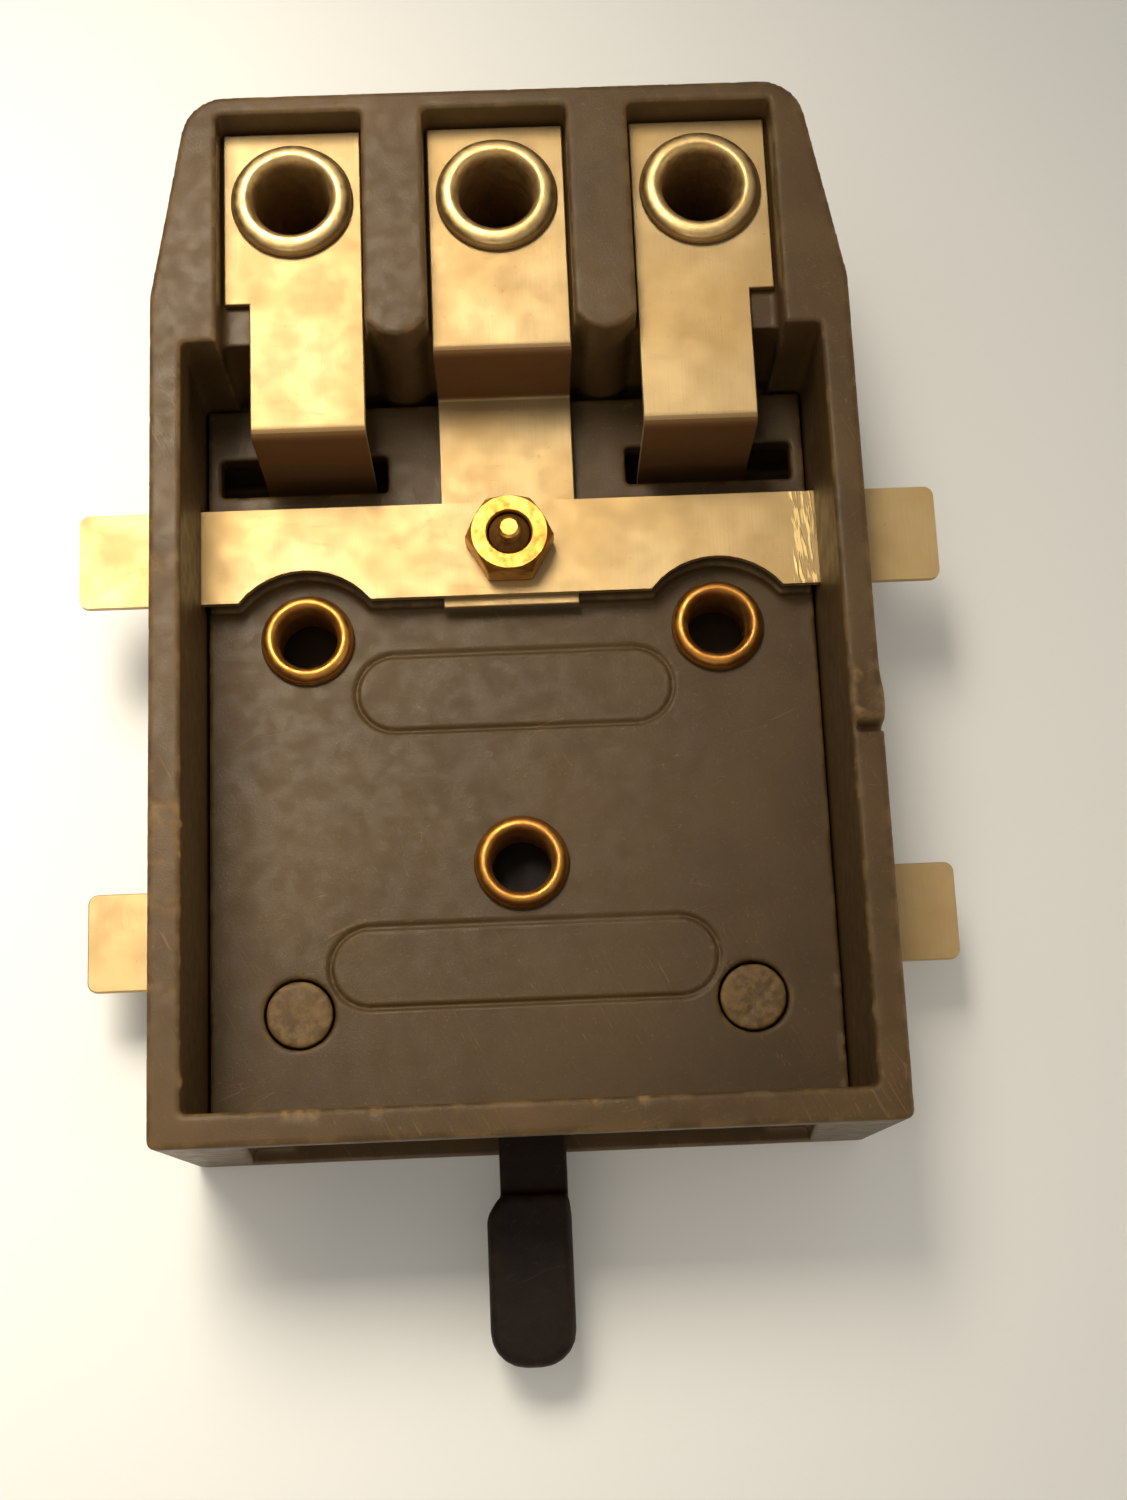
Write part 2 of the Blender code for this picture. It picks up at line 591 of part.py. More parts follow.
def make_socket(place, side, finish):
    """A tube with a rolled mouth that stands proud of its strip."""
    tube = SOCKET_BORE + SOCKET_WALL
    crest = tube + SOCKET_WALL / 4
    spread = SOCKET_FLANGE - crest
    profile = [
        (tube, -SOCKET_LENGTH),
        (tube, REST_GAP),
        (SOCKET_FLANGE, REST_GAP),
        (SOCKET_FLANGE, REST_GAP * 2),
        (crest + spread * 0.72, SOCKET_LIP * 0.55),
        (crest + spread * 0.45, SOCKET_LIP * 0.88),
        (crest, SOCKET_LIP),
        (SOCKET_BORE + SOCKET_WALL * 0.7, SOCKET_LIP * 0.9),
        (SOCKET_BORE + SOCKET_WALL * 0.2, SOCKET_LIP * 0.6),
        (SOCKET_BORE, 0),
        (SOCKET_BORE, -SOCKET_LENGTH),
    ]
    return turned(place + "_terminal_socket", profile, finish, (side * TERMINAL_PITCH, SOCKET_Y, STRIP_TOP))


def make_rivet(name, x, y, grip, finish):
    """A hollow rivet: rolled mouth on the plate, and a clinched ring under what it holds."""
    tube = RIVET_BORE + RIVET_WALL
    crest = tube + RIVET_WALL / 3
    spread = RIVET_FLANGE - crest
    clinch_top = -grip - REST_GAP
    profile = [
        (tube, clinch_top),
        (tube, REST_GAP),
        (RIVET_FLANGE, REST_GAP),
        (RIVET_FLANGE, REST_GAP * 2),
        (crest + spread * 0.75, RIVET_LIP * 0.6),
        (crest + spread * 0.4, RIVET_LIP * 0.92),
        (crest, RIVET_LIP),
        (RIVET_BORE + RIVET_WALL / 2, RIVET_LIP * 0.86),
        (RIVET_BORE, RIVET_LIP * 0.45),
        (RIVET_BORE, clinch_top - CLINCH),
        (CLINCH_RADIUS - CLINCH / 2, clinch_top - CLINCH),
        (CLINCH_RADIUS, clinch_top - CLINCH / 2),
        (CLINCH_RADIUS, clinch_top),
    ]
    return turned(name, profile, finish, (x, y, PLATE_TOP))


def make_pivot_screw(finish):
    """Slotted head under the lever, plain shank for it to turn on, and a turned-down tip past the nut."""
    bottom = DECK + SCREW_HEAD_TO_DECK
    head_top = bottom + SCREW_HEAD
    nut_top = UPPER_BUS_TOP + REST_GAP + NUT_HEIGHT
    tip_top = nut_top + SCREW_TIP
    chamfer = SCREW_TIP_RADIUS / 4
    profile = [
        (0, bottom),
        (SCREW_HEAD_RADIUS - chamfer, bottom),
        (SCREW_HEAD_RADIUS, bottom + chamfer),
        (SCREW_HEAD_RADIUS, head_top),
        (SCREW_RADIUS, head_top),
        (SCREW_RADIUS, nut_top - 2 * chamfer),
        (SCREW_TIP_RADIUS, nut_top),
        (SCREW_TIP_RADIUS, tip_top - chamfer),
        (SCREW_TIP_RADIUS - chamfer, tip_top),
        (0, tip_top),
    ]
    screw = turned("pivot_screw", profile, finish, (0, PIVOT_Y, 0))
    reach = SCREW_HEAD_RADIUS + OVERCUT
    slot = rectangle(-SCREW_SLOT / 2, PIVOT_Y - reach, SCREW_SLOT / 2, PIVOT_Y + reach)
    cut(screw, prism("screw_slot_cut", slot, 0, bottom + SCREW_HEAD / 2))
    return screw


def make_nut(finish):
    corner = NUT_ACROSS_FLATS / 2 / math.cos(math.pi / 6)
    location = (0, PIVOT_Y, UPPER_BUS_TOP + REST_GAP)
    nut = prism("hex_nut", circle((0, 0), corner, 6), 0, NUT_HEIGHT, finish, location)
    flat = NUT_ACROSS_FLATS / 2
    slope = NUT_CHAMFER / (corner - flat)
    over = corner + OVERCUT
    rise = slope * (over - flat)
    barrel = [
        (0, -OVERCUT),
        (over, -OVERCUT),
        (over, NUT_HEIGHT - rise),
        (flat, NUT_HEIGHT),
        (0, NUT_HEIGHT),
    ]
    boolean(nut, "INTERSECT", turned("nut_chamfer", barrel, None, location))
    bore = circle((0, 0), SCREW_RADIUS + SHAFT_GAP)
    cut(nut, prism("nut_bore_cut", bore, -OVERCUT, NUT_HEIGHT + OVERCUT, None, location))
    return nut


def make_washers(brass, steel):
    """A plain washer on the screw head, and a dished spring washer between lever and plate."""
    hole = SCREW_RADIUS + REST_GAP
    head_top = DECK + SCREW_HEAD_TO_DECK + SCREW_HEAD
    low = head_top + WIPER_GAP
    flat = [(hole, low), (SCREW_HEAD_RADIUS, low), (SCREW_HEAD_RADIUS, low + WASHER), (hole, low + WASHER)]
    turned("plain_washer", flat, brass, (0, PIVOT_Y, 0))
    top = PLATE_BOTTOM - BOSS_HEIGHT - WIPER_GAP
    foot = LEVER_TOP + WIPER_GAP
    dished = [
        (hole, top - SPRING_WASHER_SHEET),
        (SPRING_WASHER_RADIUS, foot),
        (SPRING_WASHER_RADIUS, foot + SPRING_WASHER_SHEET),
        (hole, top),
    ]
    turned("spring_washer", dished, steel, (0, PIVOT_Y, 0))


def lever_outline():
    """Hub, arm and neck with the pivot at the origin."""
    arm, neck = ARM_WIDTH / 2, NECK_WIDTH / 2
    wall = -PIVOT_FROM_FRONT + FRONT_RIM + NECK_INSIDE
    taper_start = wall + ARM_TAPER
    end = -PIVOT_FROM_FRONT - NECK_OUTSIDE - PADDLE_ROOT_RADIUS
    spread = math.degrees(math.asin(arm / HUB_RADIUS))
    outline = arc((0, 0), HUB_RADIUS, -90 + spread, 270 - spread, 20)
    outline += [(-arm, taper_start), (-neck, wall), (-neck, end)]
    outline += [(neck, end), (neck, wall), (arm, taper_start)]
    return outline


def make_lever(finish, pivot):
    lever = prism("lever", lever_outline(), LEVER_BOTTOM, LEVER_TOP, finish)
    lever.parent = pivot

    left, right = -PADDLE_WIDTH / 2 - PADDLE_OFFSET, PADDLE_WIDTH / 2 - PADDLE_OFFSET
    root = -PIVOT_FROM_FRONT - NECK_OUTSIDE
    shoulder = root - PADDLE_SHOULDER
    tip = -PIVOT_FROM_FRONT - LEVER_OUTSIDE
    paddle = rounded([
        (left, tip, PADDLE_RADIUS),
        (right, tip, PADDLE_RADIUS),
        (right, shoulder, PADDLE_ROOT_RADIUS),
        (NECK_WIDTH / 2, root, 0),
        (-NECK_WIDTH / 2, root, 0),
        (left, shoulder, PADDLE_ROOT_RADIUS),
    ])
    blade = prism("paddle", paddle, LEVER_BOTTOM - PADDLE_SWELL, LEVER_TOP + PADDLE_SWELL)
    blade.parent = pivot
    edge = blade.modifiers.new("soft_edges", "BEVEL")
    edge.width = PADDLE_EDGE
    edge.segments = 2
    edge.limit_method = "ANGLE"
    edge.angle_limit = math.radians(50)
    join(lever, blade)

    hole = prism("lever_hole_cut", circle((0, 0), SCREW_RADIUS + SHAFT_GAP), 0, BODY_HEIGHT)
    counterbore = circle((0, 0), SCREW_HEAD_RADIUS + SLIDE_GAP)
    pocket = prism("lever_counterbore_cut", counterbore, 0, LEVER_TOP - HUB_WEB)
    shank = circle((0, -WIPER_RIVET_REACH), WIPER_RIVET_RADIUS + WIPER_GAP, SMALL_SEGMENTS)
    rivet_hole = prism("lever_rivet_cut", shank, 0, BODY_HEIGHT)
    for helper in (hole, pocket, rivet_hole):
        helper.parent = pivot
        cut(lever, helper)
    return lever


def make_wiper(brass, pivot):
    """A leaf on the lever with two dimples: one meets a contact foot, the other rubs the bus tongue."""
    low = LEVER_TOP + REST_GAP
    half = WIPER_WIDTH / 2
    contact_reach = PIVOT_Y - (CONTACT_ARM_FRONT + CONTACT_ARM / 2)
    tongue_reach = PIVOT_Y - (TONGUE_END - TONGUE_CONTACT)
    front = -tongue_reach - WIPER_FRONT_MARGIN
    outline = rounded([
        (-half, front, WIPER_CORNER),
        (half, front, WIPER_CORNER),
        (half, -WIPER_REAR_REACH, WIPER_CORNER),
        (-half, -WIPER_REAR_REACH, WIPER_CORNER),
    ])
    wiper = prism("wiper_contact", outline, low, low + WIPER, brass)
    wiper.parent = pivot
    foot, crown = low + WIPER / 2, CONTACT_BOTTOM - WIPER_GAP
    dome = [
        (0, foot),
        (DIMPLE_RADIUS, foot),
        (DIMPLE_RADIUS * 0.8, (low + WIPER + crown) / 2),
        (DIMPLE_RADIUS * 0.35, crown),
        (0, crown),
    ]
    for place, reach in (("contact", contact_reach), ("tongue", tongue_reach)):
        dimple = turned(place + "_dimple", dome, None, (0, -reach, 0), SMALL_SEGMENTS)
        dimple.parent = pivot
        join(wiper, dimple)
    shank = circle((0, -WIPER_RIVET_REACH), WIPER_RIVET_RADIUS + WIPER_GAP, SMALL_SEGMENTS)
    hole = prism("wiper_hole_cut", shank, low - OVERCUT, low + OVERCUT)
    hole.parent = pivot
    cut(wiper, hole)


def make_wiper_rivet(brass, pivot):
    """Holds the wiper to the lever, with a flat head on each side."""
    upper_low = LEVER_TOP + REST_GAP + WIPER + WIPER_GAP
    upper_top = upper_low + WIPER_RIVET_HEAD
    lower_top = LEVER_BOTTOM - WIPER_GAP
    lower_low = lower_top - WIPER_RIVET_HEAD
    profile = [
        (0, lower_low),
        (WIPER_RIVET_HEAD_RADIUS, lower_low),
        (WIPER_RIVET_HEAD_RADIUS, lower_top),
        (WIPER_RIVET_RADIUS, lower_top),
        (WIPER_RIVET_RADIUS, upper_low),
        (WIPER_RIVET_HEAD_RADIUS, upper_low),
        (WIPER_RIVET_HEAD_RADIUS * 0.75, upper_top),
        (0, upper_top),
    ]
    rivet = turned("wiper_rivet", profile, brass, (0, -WIPER_RIVET_REACH, 0), SMALL_SEGMENTS)
    rivet.parent = pivot


def make_all():
    clear_scene()
    plastic = material("case_plastic", (0.115, 0.075, 0.038), 0.55, 0.0)
    plate_plastic = material("plate_plastic", (0.105, 0.067, 0.034), 0.6, 0.0)
    black = material("lever_plastic", (0.018, 0.012, 0.009), 0.45, 0.0)
    brass = material("sheet_brass", (0.62, 0.46, 0.22), 0.35, 1.0)
    socket_brass = material("socket_brass", (0.72, 0.58, 0.32), 0.3, 1.0)
    rivet_brass = material("rivet_brass", (0.55, 0.30, 0.10), 0.35, 1.0)
    nut_brass = material("nut_brass", (0.58, 0.36, 0.12), 0.3, 1.0)
    steel = material("spring_steel", (0.45, 0.43, 0.40), 0.4, 1.0)

    make_case(plastic)
    make_base_plate(plate_plastic)
    for place, side in (("left", -1), ("right", 1)):
        make_outer_strip(place, side, brass)
    make_centre_strip(brass)
    for place, side in (("left", -1), ("centre", 0), ("right", 1)):
        make_socket(place, side, socket_brass)
    make_upper_bus(brass)
    make_lower_bus(brass)
    for name, x, y in rivet_places():
        held = BUS if name == "bus_rivet" else STRIP
        make_rivet(name, x, y, PLATE + REST_GAP + held, rivet_brass)
    make_pivot_screw(nut_brass)
    make_nut(nut_brass)
    make_washers(nut_brass, steel)

    pivot = bpy.data.objects.new("lever_pivot", None)
    pivot.location = (0, PIVOT_Y, 0)
    bpy.context.scene.collection.objects.link(pivot)
    make_lever(black, pivot)
    make_wiper(brass, pivot)
    make_wiper_rivet(brass, pivot)


make_all()
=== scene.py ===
"""Looks for the model railway lever controller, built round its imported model.

The controller lies on its deck with the open underside up, so +Z comes out of the underside,
+Y points from the lever to the terminals and +X is to the right of the main view. Values are
metres, apart from those under a heading that says millimetres.
"""

import math

import bmesh
import bpy
import numpy as np
from mathutils import Matrix, Vector, noise


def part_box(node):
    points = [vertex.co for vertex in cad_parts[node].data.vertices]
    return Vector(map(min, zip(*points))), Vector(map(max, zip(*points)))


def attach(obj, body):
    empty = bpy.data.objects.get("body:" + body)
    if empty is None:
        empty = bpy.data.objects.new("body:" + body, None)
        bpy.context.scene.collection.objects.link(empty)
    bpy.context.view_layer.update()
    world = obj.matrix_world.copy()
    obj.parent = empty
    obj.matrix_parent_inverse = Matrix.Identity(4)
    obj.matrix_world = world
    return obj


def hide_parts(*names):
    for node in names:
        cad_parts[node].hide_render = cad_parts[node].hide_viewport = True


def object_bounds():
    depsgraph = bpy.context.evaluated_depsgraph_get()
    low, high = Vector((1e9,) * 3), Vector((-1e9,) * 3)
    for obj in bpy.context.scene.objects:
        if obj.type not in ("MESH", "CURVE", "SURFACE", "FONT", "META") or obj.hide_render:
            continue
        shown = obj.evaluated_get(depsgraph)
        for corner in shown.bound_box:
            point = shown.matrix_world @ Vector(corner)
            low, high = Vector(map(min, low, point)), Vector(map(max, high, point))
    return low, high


MM = 0.001

# Camera: a hand-held close-up from above the lever's end
CAMERA_AIM = Vector((0.0, -1.8, 18.5)) * MM
CAMERA_DISTANCE = 124.28 * MM
CAMERA_TILT = 13.89
CAMERA_LEAN = -1.25
CAMERA_ROLL = 2.48
CAMERA_OFFSET = Vector((2.975, -8.148)) * MM
LENS_TO_FRAME_HEIGHT = 2150 / 1500
SENSOR_HEIGHT = 24.0

# Moulded pieces
WELD = 0.004 * MM
CASE_VOXEL = 0.18 * MM
PLATE_VOXEL = 0.15 * MM
LEVER_VOXEL = 0.16 * MM
MOST_TRIANGLES = 150_000
EDGE_WEAR = 0.045 * MM
SURFACE_WAVE = 0.008 * MM

# Detail of the case in millimetres: a span is (low, high) along the axis that its name ends in
RIM_TOP = 18.5
RIM_INSIDE = 19.15
BURR_X, BURR_Y = (19.3, 21.3), (-9.0, -5.9)
BURR_HEIGHT, BURR_LUMPS = 0.09, 0.13
SWELL_X, SWELL_Y = (20.5, 22.0), (-9.3, -6.9)
SWELL_PROUD = 0.15
NOTCH_X, NOTCH_Y = (19.55, 21.6), (-9.75, -9.2)
NOTCH_DEPTH = 1.1
RUBBED_X = (-21.1, -19.1)
RUBBED_PATCHES = (  # (span along Y, strength)
    ((1.0, 2.5), 0.5),
    ((-16.4, -12.2), 0.75),
    ((-18.8, -17.7), 0.6),
    ((-23.5, -22.4), 0.45),
)
RUB_DEPTH = 0.07
LEFT_FLASH_Y, RIGHT_FLASH_Y = (-29, -9.5), (-29, -9.8)
RIM_FLASH = 0.16
FRONT_RIM_Y = (-30.35, -29.75)
NICKS = (  # (middle X, width)
    (-13.4, 0.55), (-12.7, 0.5), (-11.9, 0.6), (-8.5, 0.7), (3.6, 0.4), (6.2, 0.7),
)
NICK_DEPTH = 0.1
PEG_X, PEG_Y = 13.65, -23.45
PEG_RADIUS = 2.0
PEG_ROUGHNESS = 0.03
SCORE_DEPTH = 0.06

# Detail of the plate in millimetres: each outline is (middle Y, length)
PLATE_TOP = 8.2
OUTLINES = ((-3.71, 20.0), (-20.8, 23.8))
OUTLINE_HEIGHT = 5.2
GROOVE_WIDTH = 0.3
GROOVE_DEPTH = 0.22
RIDGE_HEIGHT = 0.05
RECUT_REACH = 0.42
FLASH_HEIGHT = 0.14
RIGHT_FLASH_TO = -21

# Brass pieces
SHEET_EDGE = 0.09 * MM
SHARP_FOLD = math.radians(40)
# Strip faces behind this Y that turn down at their folds get painted shade.
FOLD_SHADE_BEHIND = 8 * MM
TAB_BEYOND_WALL = 7.5 * MM
FILED_LENGTH = 1.7 * MM
SOCKET_BORE = 2.35 * MM
SOCKET_WALL = 0.4 * MM
RIVET_BORE = 1.85 * MM
RIVET_WALL = 0.35 * MM
CLINCH_RADIUS = 2.7 * MM
CLINCH_HEIGHT = 0.45 * MM
ROLL_ABOVE_SEAT = 0.95 * MM
MOUTH_WOBBLE = 0.03 * MM
NUT_BORE = 1.36 * MM
NUT_EDGE = 0.1 * MM
NUT_FACE_INSET = 0.12 * MM
NUT_SHARP = math.radians(38)
NUT_CHAMFER = 0.42 * MM
NUT_CHAMFER_FROM = 0.7
NUT_RISE = (0.0, 0.05, 0.4, 0.7, 0.78, 0.84, 0.9, 0.95, 1.0)
STUD_TIP_RADIUS = 0.7 * MM
ROUND_STEPS = 96

# Studio: each light is (name, place, aim, size, watts, spread in degrees)
FLOOR_REACH = 1.5
WARM_LIGHT = (1.0, 0.89, 0.70)
LIGHTS = (
    ("window", (-0.055, 0.08, 0.19), (-0.050, 0, 0), (0.09, 0.09), 0.060, 52),
    ("overhead", (-0.12, -0.03, 0.40), (0, 0, 0), (0.35, 0.35), 0.16, 180),
    ("right_fill", (0.32, -0.08, 0.10), (0, 0, 0.01), (0.25, 0.15), 0.28, 180),
    ("front_fill", (-0.06, -0.36, 0.14), (0, 0, 0.01), (0.25, 0.2), 0.18, 180),
)
SURROUND_COLOUR = (1.0, 0.94, 0.84, 1.0)
SURROUND_STRENGTH = 0.34

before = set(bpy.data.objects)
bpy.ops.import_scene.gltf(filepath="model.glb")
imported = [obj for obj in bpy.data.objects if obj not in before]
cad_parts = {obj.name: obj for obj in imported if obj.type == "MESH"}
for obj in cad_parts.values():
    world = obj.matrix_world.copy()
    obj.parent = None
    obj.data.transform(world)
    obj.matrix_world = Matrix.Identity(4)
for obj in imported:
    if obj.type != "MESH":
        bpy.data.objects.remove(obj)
cad_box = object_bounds()


# ---------------------------------------------------------------- node materials


class Finish:
    """One procedural material, with the node chains that the finishes share."""

    def __init__(self, name, metallic=0.0, **constants):
        self.material = bpy.data.materials.new(name)
        self.material.use_nodes = True
        self.tree = self.material.node_tree
        self.shader = self.tree.nodes["Principled BSDF"]
        self.set("Metallic", metallic)
        for socket, value in constants.items():
            self.set(socket.replace("_", " "), value)
        self.place = self.node("TexCoord").outputs["Object"]
        self.normal = None

    def set(self, socket, value):
        if isinstance(value, bpy.types.NodeSocket):
            self.tree.links.new(value, self.shader.inputs[socket])
        else:
            self.shader.inputs[socket].default_value = value

    def node(self, kind, sources=None, **settings):
        made = self.tree.nodes.new("ShaderNode" + kind)
        for name, value in settings.items():
            setattr(made, name, value)
        for socket, value in (sources or {}).items():
            if isinstance(value, bpy.types.NodeSocket):
                self.tree.links.new(value, made.inputs[socket])
            else:
                made.inputs[socket].default_value = value
        return made

    def grain(self, size, detail=2.0, stretch=(1, 1, 1), turn=0.0, seed=0.0, distortion=0.0):
        """Noise whose features are about one size across, stretched along the turned X axis."""
        scale = tuple(1 / (size * s) for s in stretch)
        spin = (0, 0, math.radians(turn))
        turned = self.node("Mapping", {0: self.place, 2: spin})
        sources = {0: turned.outputs[0], 1: (seed, seed * 2, seed * 3), 3: scale}
        place = self.node("Mapping", sources).outputs[0]
        settings = {"Vector": place, "Scale": 1.0, "Detail": detail, "Distortion": distortion}
        return self.node("TexNoise", settings).outputs[0]

    def ramp(self, value, low, high, to_low=0.0, to_high=1.0):
        sources = {0: value, 1: low, 2: high, 3: to_low, 4: to_high}
        return self.node("MapRange", sources, interpolation_type="SMOOTHSTEP").outputs[0]

    def math(self, operation, a, b=0.0):
        return self.node("Math", {0: a, 1: b}, operation=operation).outputs[0]

    def vector_math(self, operation, a, b=(0, 0, 0)):
        return self.node("VectorMath", {0: a, 1: b}, operation=operation)

    def mix(self, share, a, b):
        return self.node("Mix", {0: share, 6: a, 7: b}, data_type="RGBA").outputs[2]

    def scratches(self, turn, length, spacing, width, seed):
        """Long thin lines: where stretched noise crosses its middle value, in scattered places."""
        lines = self.grain(spacing, 1.0, (length / spacing, 1, 1), turn, seed)
        off = self.math("ABSOLUTE", self.math("SUBTRACT", lines, 0.5))
        thin = self.ramp(off, 0.0, width, 1.0, 0.0)
        where = self.ramp(self.grain(length, 1.0, seed=seed + 5), 0.48, 0.62)
        return self.math("MULTIPLY", thin, where)

    def attribute(self, name):
        return self.node("Attribute", attribute_name=name).outputs["Fac"]

    def axis(self, index):
        return self.node("SeparateXYZ", {0: self.place}).outputs[index]

    def bump(self, height, distance, strength=1.0):
        sources = {"Height": height, "Distance": distance, "Strength": strength}
        if self.normal:
            sources["Normal"] = self.normal
        self.normal = self.node("Bump", sources).outputs[0]
        self.set("Normal", self.normal)


def rgb(red, green, blue):
    """A linear colour from 0-255 screen values."""
    screen = [value / 255 for value in (red, green, blue)]
    linear = [v / 12.92 if v <= 0.04045 else ((v + 0.055) / 1.055) ** 2.4 for v in screen]
    return (*linear, 1.0)


def moulded_plastic(name, dark, light, worn, grain_depth, gloss, specular=0.3):
    """Flow clouds, a fine grain, edges and matt patches rubbed pale, and hairline scratches."""
    finish = Finish(name, Specular_IOR_Level=specular)
    clouds = finish.ramp(finish.grain(9 * MM, 5.0, distortion=0.3), 0.3, 0.7)
    streaks = finish.ramp(finish.grain(1.1 * MM, 3.0, (5, 1, 1), 84, 2), 0.42, 0.7)
    speckle = finish.ramp(finish.grain(0.14 * MM, 2.0, seed=9), 0.62, 0.74)
    colour = finish.mix(clouds, dark, light)
    colour = finish.mix(finish.math("MULTIPLY", streaks, 0.25), colour, light)
    colour = finish.mix(finish.math("MULTIPLY", speckle, 0.16), colour, worn)

    patch = finish.ramp(finish.grain(1.4 * MM, 6.0, seed=3), 0.46, 0.6)
    edge = finish.math("MULTIPLY", finish.attribute("edge"), patch)
    colour = finish.mix(finish.math("MULTIPLY", edge, 0.28), colour, worn)
    matt = finish.attribute("matt")
    breakup = finish.ramp(finish.grain(0.5 * MM, 4.0, seed=31), 0.35, 0.62, 0.25, 1.0)
    rubbed = finish.math("MULTIPLY", matt, breakup)
    colour = finish.mix(finish.math("MULTIPLY", rubbed, 0.7), colour, worn)

    fine = finish.scratches(63, 9 * MM, 0.5 * MM, 0.005, 11)
    cross = finish.scratches(-22, 7 * MM, 0.7 * MM, 0.004, 17)
    marks = finish.math("MAXIMUM", fine, cross)
    colour = finish.mix(finish.math("MULTIPLY", marks, 0.3), colour, worn)
    finish.set("Base Color", colour)

    rough = finish.ramp(finish.grain(1.1 * MM, 4.0, seed=6), 0.3, 0.7, gloss, gloss + 0.14)
    rough = finish.math("ADD", rough, finish.math("MULTIPLY", edge, 0.1))
    finish.set("Roughness", finish.math("ADD", rough, finish.math("MULTIPLY", rubbed, 0.25)))

    finish.bump(finish.grain(1.6 * MM, 3.0, seed=8), 0.02 * MM, 0.5)
    finish.bump(finish.grain(0.11 * MM, 3.0, seed=1), grain_depth, 0.8)
    finish.bump(finish.math("MULTIPLY", marks, -1.0), 0.01 * MM, 0.6)
    return finish.material


def sheet_metal(name, pale, deep, stain_and_shade, gloss, filed=None):
    """Rolled sheet: a fine lie, faint scratches, small stains, slow waves, and painted shade on the
    turned-down folds.

    Between the two X places of filed, the metal carries file marks along Y, painted near-white as a
    glint of reflected light.
    """
    finish = Finish(name, metallic=1.0)
    clouds = finish.ramp(finish.grain(7 * MM, 2.0, seed=4), 0.3, 0.7)
    lie = finish.grain(0.09 * MM, 2.0, (40, 1, 1), 90, 2)
    colour = finish.mix(clouds, pale, deep)
    colour = finish.mix(finish.ramp(lie, 0.4, 0.66, 0.0, 0.3), colour, deep)

    bloom = finish.ramp(finish.grain(2.6 * MM, 5.0, seed=7), 0.4, 0.85)
    pits = finish.ramp(finish.grain(0.2 * MM, 2.0, seed=12), 0.7, 0.78)
    colour = finish.mix(finish.math("MULTIPLY", bloom, 0.12), colour, stain_and_shade)
    colour = finish.mix(finish.math("MULTIPLY", pits, 0.4), colour, stain_and_shade)

    marks = finish.scratches(8, 6 * MM, 0.45 * MM, 0.003, 21)
    for turn, seed in ((-35, 27), (71, 33)):
        crossing = finish.scratches(turn, 4 * MM, 0.6 * MM, 0.003, seed)
        marks = finish.math("MAXIMUM", marks, crossing)
    colour = finish.mix(finish.math("MULTIPLY", marks, 0.45), colour, pale)
    if filed:
        place = finish.axis(0)
        start = finish.ramp(place, filed[0], filed[0] + 0.4 * MM)
        end = finish.ramp(place, filed[1] - 0.2 * MM, filed[1], 1.0, 0.0)
        lines = finish.ramp(finish.grain(0.16 * MM, 2.0, (9, 1, 1), 84, 43), 0.46, 0.58)
        file_marks_and_glint = finish.math("MULTIPLY", lines, finish.math("MULTIPLY", start, end))
        # Painted highlight: the filed lines are mixed towards near-white as a glint.
        file_glint = finish.math("MULTIPLY", file_marks_and_glint, 0.75)
        colour = finish.mix(file_glint, colour, rgb(255, 228, 165))
        finish.bump(file_marks_and_glint, 0.03 * MM, 0.9)
    # Painted shade: faces turned down at the strips' folds are mixed towards the darkest colour and
    # made rougher.
    fold_shade = finish.attribute("fold_shade")
    colour = finish.mix(finish.math("MULTIPLY", fold_shade, 0.88), colour, stain_and_shade)
    finish.set("Base Color", colour)

    rough = finish.ramp(finish.grain(1.9 * MM, 5.0, seed=15), 0.3, 0.7, gloss, gloss + 0.08)
    rough = finish.math("ADD", rough, finish.math("MULTIPLY", bloom, 0.03))
    rough = finish.math("ADD", rough, finish.math("MULTIPLY", fold_shade, 0.2))
    finish.set("Roughness", finish.math("ADD", rough, finish.math("MULTIPLY", marks, 0.06)))

    finish.bump(finish.grain(4.0 * MM, 1.0, seed=18), 0.03 * MM, 0.4)
    finish.bump(lie, 0.007 * MM, 0.6)
    finish.bump(finish.math("MULTIPLY", pits, -1.0), 0.008 * MM, 0.6)
    finish.bump(finish.math("MULTIPLY", marks, -1.0), 0.006 * MM, 0.5)
    return finish.material


